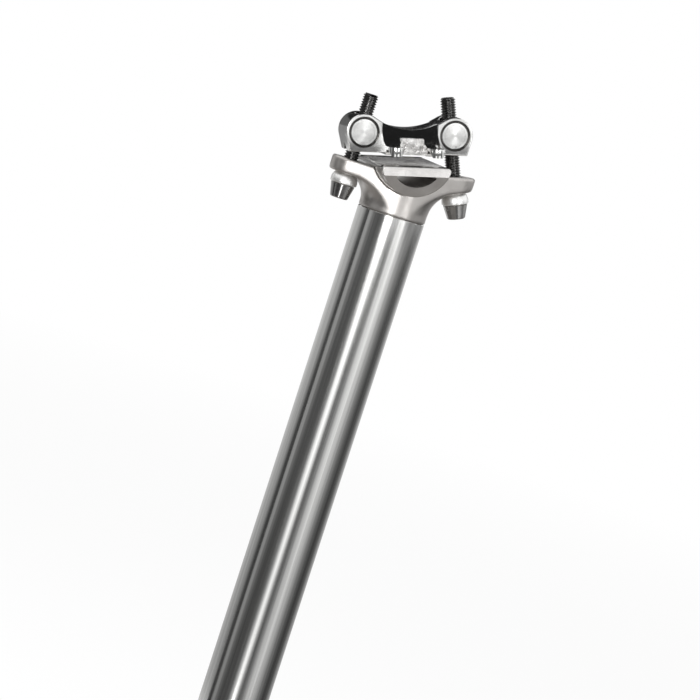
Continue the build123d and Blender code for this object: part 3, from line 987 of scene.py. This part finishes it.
canvas = glow("tent_cloth")
tree = canvas.node_tree
shine = tree.nodes["Emission"]
place = tree.nodes.new("ShaderNodeTexCoord").outputs["Object"]
around = tree.nodes.new("ShaderNodeTexGradient")
around.gradient_type = "RADIAL"
tree.links.new(place, around.inputs["Vector"])
tones = tree.nodes.new("ShaderNodeValToRGB")
tree.links.new(around.outputs["Fac"], tones.inputs["Fac"])
stops = sorted((((angle + 90 + CAMERA_TURN) % 360) / 360, tone) for angle, tone in TENT_TONES)
tones.color_ramp.elements[0].position = stops[0][0]
tones.color_ramp.elements[1].position = stops[-1][0]
for position, _ in stops[1:-1]:
    tones.color_ramp.elements.new(position)
for element, (_, tone) in zip(tones.color_ramp.elements, stops):
    element.color = (tone, tone, tone, 1)
split = tree.nodes.new("ShaderNodeSeparateXYZ")
tree.links.new(place, split.inputs["Vector"])
canopy = tree.nodes.new("ShaderNodeMix")
canopy.data_type = "RGBA"
canopy.inputs["B"].default_value = (CANOPY_TONE, CANOPY_TONE, CANOPY_TONE, 1)
up_to_canopy = mapped(tree, split.outputs["Z"], CANOPY_START, CANOPY_FULL)
tree.links.new(up_to_canopy, canopy.inputs["Factor"])
tree.links.new(tones.outputs["Color"], canopy.inputs["A"])
tree.links.new(canopy.outputs["Result"], shine.inputs["Color"])
out_of_dusk = mapped(tree, split.outputs["Z"], *DUSK_HEIGHTS, DUSK_SHARES)
tree.links.new(out_of_dusk, shine.inputs["Strength"])
round_cloth("light_tent", canvas, TENT_RADIUS, TENT_FOOT, TENT_TOP, turn=90 - CAMERA_TURN)

matting = glow("tent_matting", MATTING_COLOUR)
mat = bmesh.new()
bmesh.ops.create_circle(
    mat,
    cap_ends=True,
    segments=MATTING_STEPS,
    radius=TENT_RADIUS,
    matrix=Matrix.Translation((0, 0, TENT_FOOT)),
)
only_mirrored(staged(mat, "tent_floor", matting))

for name, card in HUNG_CARDS.items():
    linen = glow(name + "_linen", [card["tone"]] * 3)
    round_cloth(
        name,
        linen,
        TENT_RADIUS - CARD_INSET,
        card["low"],
        card["high"],
        card["turn"],
        card["width"],
        CARD_STEPS,
    )

felt = glow("black_felt", [FELT_TONE] * 3)
flat_card("top_card", felt, middle=(-0.014, 0.0075, 0.412), half_size=(0.038, 0.0675), tip=0.0)
flat_card("back_card", felt, middle=(-0.02, 0.075, 0.383), half_size=(0.15, 0.013))

flannel = glow("grey_flannel")
tree = flannel.node_tree
shine = tree.nodes["Emission"]
place = tree.nodes.new("ShaderNodeTexCoord").outputs["Object"]
above = tree.nodes.new("ShaderNodeVectorMath")
above.operation = "DOT_PRODUCT"
above.inputs[1].default_value = CLAMP_UP
tree.links.new(place, above.inputs[0])
flannel_ends = [CLAMP_MIDDLE.dot(CLAMP_UP) + height for height in FLANNEL_HEIGHTS]
flannel_tone = mapped(tree, above.outputs["Value"], *flannel_ends, FLANNEL_TONES)
tree.links.new(flannel_tone, shine.inputs["Strength"])
flat_card(
    "grey_strip",
    flannel,
    middle=by_the_clamp(along=0.009, out=0.05, above=0.0005),
    half_size=(0.03, 0.0034),
    slope=CLAMP_SLOPE,
)

serge = glow("dark_serge", [SERGE_TONE] * 3)
flat_card(
    "leg_card",
    serge,
    middle=by_the_clamp(along=-0.0009, out=0.0505, above=0.004),
    half_size=(0.002, 0.007),
    slope=CLAMP_SLOPE,
)
flat_card("low_card", serge, middle=(-0.045, 0.075, 0.342), half_size=(0.03, 0.01))

pale = bpy.data.materials.new("pale_floor")
pale.use_nodes = True
tree = pale.node_tree
paint = tree.nodes["Principled BSDF"]
paint.inputs["Base Color"].default_value = (FLOOR_TONE, FLOOR_TONE, FLOOR_TONE, 1)
paint.inputs["Roughness"].default_value = FLOOR_ROUGHNESS
paint.inputs["Specular IOR Level"].default_value = 0.0
place = tree.nodes.new("ShaderNodeTexCoord").outputs["Object"]
distance = tree.nodes.new("ShaderNodeVectorMath")
distance.operation = "LENGTH"
tree.links.new(place, distance.inputs["Vector"])
bleached = tree.nodes.new("ShaderNodeMath")
bleached.operation = "MULTIPLY"
tree.links.new(seen_plainly(tree), bleached.inputs[0])
bleach_share = mapped(tree, distance.outputs["Value"], *BLEACH_DISTANCES, BLEACH_SHARES)
tree.links.new(bleach_share, bleached.inputs[1])
white = tree.nodes.new("ShaderNodeEmission")
paint_or_white = tree.nodes.new("ShaderNodeMixShader")
tree.links.new(bleached.outputs["Value"], paint_or_white.inputs["Fac"])
tree.links.new(paint.outputs["BSDF"], paint_or_white.inputs[1])
tree.links.new(white.outputs["Emission"], paint_or_white.inputs[2])
tree.links.new(paint_or_white.outputs["Shader"], tree.nodes["Material Output"].inputs["Surface"])
floor = bmesh.new()
bmesh.ops.create_grid(
    floor,
    x_segments=1,
    y_segments=1,
    size=FLOOR_HALF_WIDTH,
    matrix=Matrix.Translation((0, 0, FLOOR_HEIGHT)),
)
staged(floor, "pale_floor", pale).visible_glossy = False

world = bpy.data.worlds.new("studio")
bpy.context.scene.world = world
world.use_nodes = True
tree = world.node_tree
ambient = tree.nodes["Background"]
ambient.inputs["Color"].default_value = (1, 1, 1, 1)
ambient.inputs["Strength"].default_value = AMBIENT_STRENGTH
backdrop = tree.nodes.new("ShaderNodeBackground")
backdrop.inputs["Color"].default_value = (1, 1, 1, 1)
backdrop.inputs["Strength"].default_value = 1.0
ambient_or_backdrop = tree.nodes.new("ShaderNodeMixShader")
tree.links.new(seen_plainly(tree), ambient_or_backdrop.inputs["Fac"])
tree.links.new(ambient.outputs["Background"], ambient_or_backdrop.inputs[1])
tree.links.new(backdrop.outputs["Background"], ambient_or_backdrop.inputs[2])
tree.links.new(ambient_or_backdrop.outputs["Shader"], tree.nodes["World Output"].inputs["Surface"])

lamp_data = bpy.data.lights.new("overhead_softbox", "AREA")
lamp_data.shape = "DISK"
lamp_data.size = LAMP_SIZE
lamp_data.energy = LAMP_ENERGY
lamp = bpy.data.objects.new("overhead_softbox", lamp_data)
lamp.location = LAMP_PLACE
lamp.rotation_euler = (LAMP_AIM - LAMP_PLACE).to_track_quat("-Z", "Y").to_euler()
lamp.visible_glossy = False
bpy.context.scene.collection.objects.link(lamp)


# Camera
# It stands beside the post, a little to its front and a little above the clamp, with a long lens. It looks
# slightly down at the tube, and is rolled so that the tube leans in the picture.
CAMERA_RISE = 6.295
CAMERA_ROLL = 18.018
CAMERA_DISTANCE = 0.9045
CAMERA_TARGET = Vector((0.00108, 0, 0.27045))
CAMERA_LENS = 117.58
CAMERA_SENSOR = 36.0
CAMERA_NEAREST = 0.01

turn, rise, roll = radians(CAMERA_TURN), radians(CAMERA_RISE), radians(CAMERA_ROLL)
back = Vector((sin(turn) * cos(rise), -cos(turn) * cos(rise), sin(rise)))
right = Vector((cos(turn), sin(turn), 0))
up = back.cross(right)
rolled_right = right * cos(roll) + up * sin(roll)
rolled_up = up * cos(roll) - right * sin(roll)
camera_data = bpy.data.cameras.new("camera")
camera_data.lens = CAMERA_LENS
camera_data.sensor_width = CAMERA_SENSOR
camera_data.clip_start = CAMERA_NEAREST
camera = bpy.data.objects.new("camera", camera_data)
camera_axes = Matrix((rolled_right, rolled_up, back)).transposed().to_4x4()
camera.matrix_world = Matrix.Translation(CAMERA_TARGET + back * CAMERA_DISTANCE) @ camera_axes
bpy.context.scene.collection.objects.link(camera)
bpy.context.scene.camera = camera
bpy.context.scene.view_settings.view_transform = "Standard"
